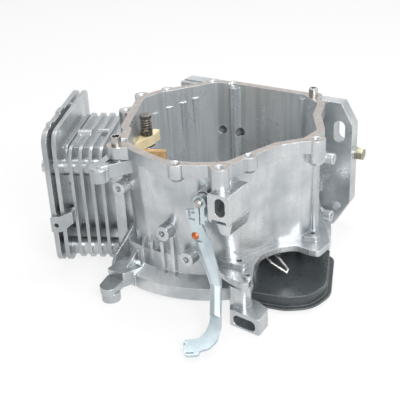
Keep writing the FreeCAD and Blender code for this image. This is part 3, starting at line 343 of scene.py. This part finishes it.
# Tapped threads that show in the mouths of the bolt holes, each row a mouth's place and its radius
threads = {
    "pitch": 1.25, "height": 0.65, "turns": 6, "steps": 28, "top": -1.6, "sunk": 0.05, "rootFlat": 0.05,
    "cover": [
        (-24.4, 84, 3.4), (-47.1, 81, 3.4), (120.2, -16.8, 3.4), (84.5, -75.3, 3.4), (74.7, -107.6, 3.4),
        (37, -116.3, 3.4), (-34, -95.5, 3.4),
    ],
    # Also in the gasket face, but placed along and across the cylinder axis
    "bank": [(85.1, 4.4, 3.4), (78.3, 49.8, 3.4), (53.7, 67.0, 3.4)],
    "front": [(-38, -106, -46, 3.0), (19, -120, -72, 3.0), (36.5, -110, -99.5, 3.0)],
    "right": [(107, 54.5, -51, 2.7), (106, 54.5, -115, 2.7)],
}


def threadProfile(radius):
    top, pitch, sunk = threads["top"], threads["pitch"], threads["sunk"]
    profile = [(radius + sunk, top), (radius + sunk, top - threads["turns"] * pitch)]
    for k in range(threads["turns"], 0, -1):
        profile.append((radius, top - (k - threads["rootFlat"]) * pitch))
        profile.append((radius - threads["height"], top - (k - 0.5) * pitch))
    profile.append((radius, top - sunk))
    return profile


mouths = [(Matrix.Translation((x * mm, y * mm, 0)), radius) for x, y, radius in threads["cover"]]
for reach, side, radius in threads["bank"]:
    mouths.append((Matrix.Translation((along * reach + across * side) * mm), radius))
for rowName, axis in (("front", "X"), ("right", "Y")):
    for x, y, z, radius in threads[rowName]:
        turn = Matrix.Rotation(math.pi / 2, 4, axis)
        mouths.append((Matrix.Translation((x * mm, y * mm, z * mm)) @ turn, radius))
bm = bmesh.new()
for place, radius in mouths:
    spunRing(bm, threadProfile(radius), threads["steps"], place)
finishPiece("tappedThreads", bm, "cast_aluminium")
print("stage: threads in", len(mouths), "holes")

# Pressed fold down the governor arm: each run starts at a spot on the sheet and falls by a slope
armFold = {
    "height": 1.9, "sunk": 0.05, "halfWidth": 4.6,
    "runs": [
        {"start": (57.5, -118.5, -70.0), "end": (72.5, -118.5, -111.0), "out": (0, -1, 0)},
        {"start": (72.5, -118.5, -111.0), "end": (83.0, -137.0, -128.5), "out": (0, -0.687, 0.727)},
    ],
}
bm = bmesh.new()
for run in armFold["runs"]:
    start, end, out = Vector(run["start"]), Vector(run["end"]), Vector(run["out"])
    side = Vector((armFold["halfWidth"], 0, 0))
    base = start - out * armFold["sunk"]
    crest = start + out * armFold["height"]
    section = bm.faces.new([bm.verts.new(v * mm) for v in (base - side, base + side, crest)])
    grown = bmesh.ops.extrude_face_region(bm, geom=[section])["geom"]
    farEnd = [v for v in grown if isinstance(v, bmesh.types.BMVert)]
    bmesh.ops.translate(bm, verts=farEnd, vec=(end - start) * mm)
finishPiece("armFold", bm, "zinc_steel", body="governor", smoothAngle=5)
print("stage: arm fold")


# Mask that is 1 for what the camera sees straight, mirrored in metal or through glass
def seenMask(tree):
    rays = addNode(tree, "ShaderNodeLightPath")
    mirrored = addNode(tree, "ShaderNodeMath", {"operation": "MAXIMUM"},
                       {0: rays.outputs["Is Glossy Ray"], 1: rays.outputs["Is Transmission Ray"]})
    seen = addNode(tree, "ShaderNodeMath", {"operation": "MAXIMUM"},
                   {0: rays.outputs["Is Camera Ray"], 1: mirrored.outputs[0]})
    return seen.outputs[0]


# Pale floor under the block, white to the camera but lit and shaded as a floor
floorLook = {"half": 20.0, "restZ": -146.0, "gap": 0.3, "colour": "#F4F4F4", "white": 0.82}
floorMaterial = bpy.data.materials.new("paleFloor")
floorMaterial.use_nodes = True
floorTree = floorMaterial.node_tree
floorTree.nodes.remove(floorTree.nodes["Principled BSDF"])
paint = addNode(floorTree, "ShaderNodeBsdfDiffuse", inputs={"Color": linear(floorLook["colour"])})
glow = addNode(floorTree, "ShaderNodeEmission", inputs={"Color": (1, 1, 1, 1), "Strength": 1.0})
share = addNode(floorTree, "ShaderNodeMath", {"operation": "MULTIPLY"},
                {0: seenMask(floorTree), 1: floorLook["white"]})
blend = addNode(floorTree, "ShaderNodeMixShader",
                inputs={0: share.outputs[0], 1: paint.outputs["BSDF"], 2: glow.outputs["Emission"]})
floorTree.links.new(blend.outputs["Shader"], floorTree.nodes["Material Output"].inputs["Surface"])
bm = bmesh.new()
bmesh.ops.create_grid(bm, x_segments=1, y_segments=1, size=floorLook["half"],
                      matrix=Matrix.Translation((0, 0, (floorLook["restZ"] - floorLook["gap"]) * mm)))
floor = meshObject("floor", bm, floorMaterial)

# Grey card beside the camera, which the metal mirrors on its left faces
card = {"place": (-0.85, -0.95, 0.3), "half": 0.7, "grey": "#2A2D30", "roughness": 0.9}
cardMaterial = bpy.data.materials.new("greyCard")
cardMaterial.use_nodes = True
cardShader = cardMaterial.node_tree.nodes["Principled BSDF"]
cardShader.inputs["Base Color"].default_value = linear(card["grey"])
cardShader.inputs["Roughness"].default_value = card["roughness"]
turned = (-Vector(card["place"])).to_track_quat("Z", "Y").to_matrix().to_4x4()
bm = bmesh.new()
bmesh.ops.create_grid(bm, x_segments=1, y_segments=1, size=card["half"])
bmesh.ops.transform(bm, matrix=Matrix.Translation(card["place"]) @ turned, verts=bm.verts)
greyCard = meshObject("greyCard", bm, cardMaterial)
greyCard.visible_camera = False
greyCard.visible_shadow = False

# World: white to the camera, dimmer as a light
worldLevel = 0.42
world = bpy.data.worlds.new("studioWorld")
bpy.context.scene.world = world
world.use_nodes = True
skyTree = world.node_tree
skyTree.nodes.remove(skyTree.nodes["Background"])
dim = addNode(skyTree, "ShaderNodeBackground", inputs={"Color": (1, 1, 1, 1), "Strength": worldLevel})
white = addNode(skyTree, "ShaderNodeBackground", inputs={"Color": (1, 1, 1, 1), "Strength": 1.0})
blend = addNode(skyTree, "ShaderNodeMixShader",
                inputs={0: seenMask(skyTree), 1: dim.outputs["Background"], 2: white.outputs["Background"]})
skyTree.links.new(blend.outputs["Shader"], skyTree.nodes["World Output"].inputs["Surface"])

# Round lamps, all turned to one spot on the block
lamps = {
    "aim": (0, 0, -0.05),
    "rows": [
        {"name": "keyLamp", "place": (1.0, -0.7, 0.75), "size": 0.7, "power": 15},
        {"name": "topLamp", "place": (-0.1, 0.35, 1.3), "size": 0.9, "power": 13},
        {"name": "leftLamp", "place": (-1.1, -0.9, 0.5), "size": 0.5, "power": 2},
    ],
}
for spec in lamps["rows"]:
    data = bpy.data.lights.new(spec["name"], "AREA")
    data.shape = "DISK"
    data.size = spec["size"]
    data.energy = spec["power"]
    lamp = bpy.data.objects.new(spec["name"], data)
    bpy.context.scene.collection.objects.link(lamp)
    lamp.location = spec["place"]
    lamp.rotation_euler = (Vector(lamps["aim"]) - Vector(spec["place"])).to_track_quat("-Z", "Y").to_euler()

# Camera, with its turn in degrees
view = {"place": (0.3990, -0.6264, 0.2785), "turn": (63.23, 2.625, 32.326), "lens": 72.78, "sensor": 36}
cameraData = bpy.data.cameras.new("camera")
cameraData.lens = view["lens"]
cameraData.sensor_width = view["sensor"]
camera = bpy.data.objects.new("camera", cameraData)
bpy.context.scene.collection.objects.link(camera)
camera.location = view["place"]
camera.rotation_euler = [math.radians(a) for a in view["turn"]]
bpy.context.scene.camera = camera
bpy.context.scene.view_settings.view_transform = "Standard"
print("stage: studio")
